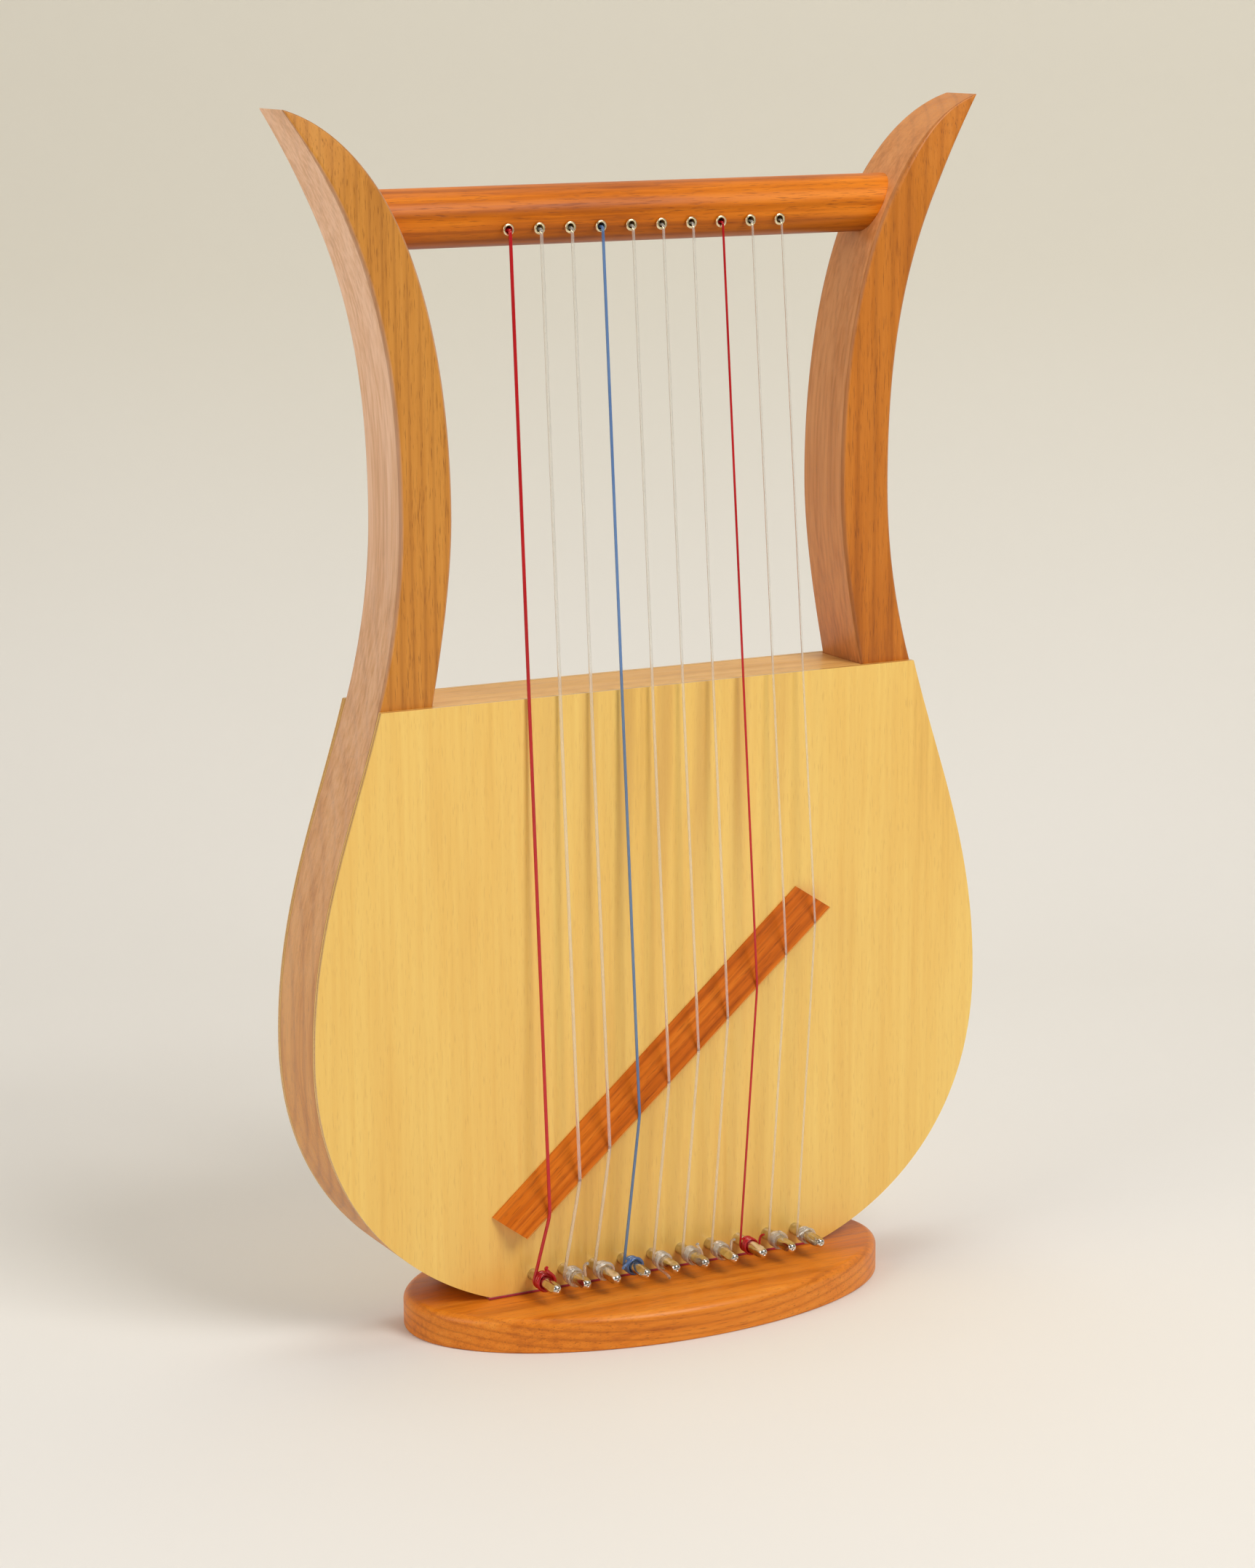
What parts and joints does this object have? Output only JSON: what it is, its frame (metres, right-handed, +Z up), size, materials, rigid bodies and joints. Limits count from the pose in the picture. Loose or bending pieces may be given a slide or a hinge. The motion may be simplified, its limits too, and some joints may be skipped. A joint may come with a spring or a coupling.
{
  "type": "table lyre",
  "caption": "Small plucked wooden lyre: two curved arms and a round crossbar over a flat sound box with a slanted bridge, turning tuning pins and an oval foot.",
  "frame": {"origin": "middle of the foot's underside, on the surface that the instrument stands on", "axes": "+Z up, the strings and the soundboard face -Y, +X to the player's right when looking at the soundboard"},
  "size_m": [0.324, 0.126, 0.52],
  "materials": {
    "arm_cherry": "satin oiled cherry with fine straight grain",
    "bar_cherry": "polished darker cherry",
    "rail_cherry": "satin light cherry",
    "foot_cherry": "satin orange cherry",
    "board_ply": "clear varnished pale birch plywood",
    "spruce": "bare planed spruce",
    "block_maple": "bare planed maple",
    "red_felt": "thin pressed wool felt",
    "nickel": "bright nickel plate",
    "brass": "pale polished brass",
    "screw_steel": "zinc plated steel",
    "red_nylon": "smooth dyed nylon",
    "blue_nylon": "smooth dyed nylon",
    "clear_nylon": "smooth clear nylon"
  },
  "bodies": {
    "lyre": {"left_arm": "arm_cherry", "right_arm": "arm_cherry", "crossbar": "bar_cherry", "top_rail": "rail_cherry", "pin_block": "block_maple", "soundboard": "board_ply", "back_panel": "board_ply", "bridge": "bar_cherry", "soundboard_brace": "spruce", "back_brace": "spruce", "foot": "foot_cherry", "seat_felt": "red_felt", "foot_screw_left": "screw_steel", "foot_screw_right": "screw_steel", "eyelet_1": "brass", "string_1": "red_nylon", "eyelet_2": "brass", "string_2": "clear_nylon", "eyelet_3": "brass", "string_3": "clear_nylon", "eyelet_4": "brass", "string_4": "blue_nylon", "eyelet_5": "brass", "string_5": "clear_nylon", "eyelet_6": "brass", "string_6": "clear_nylon", "eyelet_7": "brass", "string_7": "clear_nylon", "eyelet_8": "brass", "string_8": "red_nylon", "eyelet_9": "brass", "string_9": "clear_nylon", "eyelet_10": "brass", "string_10": "clear_nylon"},
    "pin_1": {"tuning_pin_1": "nickel", "winding_1": "red_nylon"},
    "pin_2": {"tuning_pin_2": "nickel", "winding_2": "clear_nylon"},
    "pin_3": {"tuning_pin_3": "nickel", "winding_3": "clear_nylon"},
    "pin_4": {"tuning_pin_4": "nickel", "winding_4": "blue_nylon"},
    "pin_5": {"tuning_pin_5": "nickel", "winding_5": "clear_nylon"},
    "pin_6": {"tuning_pin_6": "nickel", "winding_6": "clear_nylon"},
    "pin_7": {"tuning_pin_7": "nickel", "winding_7": "clear_nylon"},
    "pin_8": {"tuning_pin_8": "nickel", "winding_8": "red_nylon"},
    "pin_9": {"tuning_pin_9": "nickel", "winding_9": "clear_nylon"},
    "pin_10": {"tuning_pin_10": "nickel", "winding_10": "clear_nylon"}
  },
  "joints": [
    {"name": "pin_1_turn", "type": "hinge", "parent": "lyre", "child": "pin_1", "pos_m": [-0.0615, -0.0115, 0.0232], "axis": [0, -1, 0], "range_deg": [-945, 75]},
    {"name": "pin_2_turn", "type": "hinge", "parent": "lyre", "child": "pin_2", "pos_m": [-0.0471, -0.0115, 0.0232], "axis": [0, -1, 0], "range_deg": [-945, 75]},
    {"name": "pin_3_turn", "type": "hinge", "parent": "lyre", "child": "pin_3", "pos_m": [-0.0327, -0.0115, 0.0232], "axis": [0, -1, 0], "range_deg": [-945, 75]},
    {"name": "pin_4_turn", "type": "hinge", "parent": "lyre", "child": "pin_4", "pos_m": [-0.0183, -0.0115, 0.0232], "axis": [0, -1, 0], "range_deg": [-945, 75]},
    {"name": "pin_5_turn", "type": "hinge", "parent": "lyre", "child": "pin_5", "pos_m": [-0.0039, -0.0115, 0.0232], "axis": [0, -1, 0], "range_deg": [-945, 75]},
    {"name": "pin_6_turn", "type": "hinge", "parent": "lyre", "child": "pin_6", "pos_m": [0.0105, -0.0115, 0.0232], "axis": [0, -1, 0], "range_deg": [-945, 75]},
    {"name": "pin_7_turn", "type": "hinge", "parent": "lyre", "child": "pin_7", "pos_m": [0.0249, -0.0115, 0.0232], "axis": [0, -1, 0], "range_deg": [-945, 75]},
    {"name": "pin_8_turn", "type": "hinge", "parent": "lyre", "child": "pin_8", "pos_m": [0.0393, -0.0115, 0.0232], "axis": [0, -1, 0], "range_deg": [-945, 75]},
    {"name": "pin_9_turn", "type": "hinge", "parent": "lyre", "child": "pin_9", "pos_m": [0.0537, -0.0115, 0.0232], "axis": [0, -1, 0], "range_deg": [-945, 75]},
    {"name": "pin_10_turn", "type": "hinge", "parent": "lyre", "child": "pin_10", "pos_m": [0.0681, -0.0115, 0.0232], "axis": [0, -1, 0], "range_deg": [-945, 75]}
  ]
}
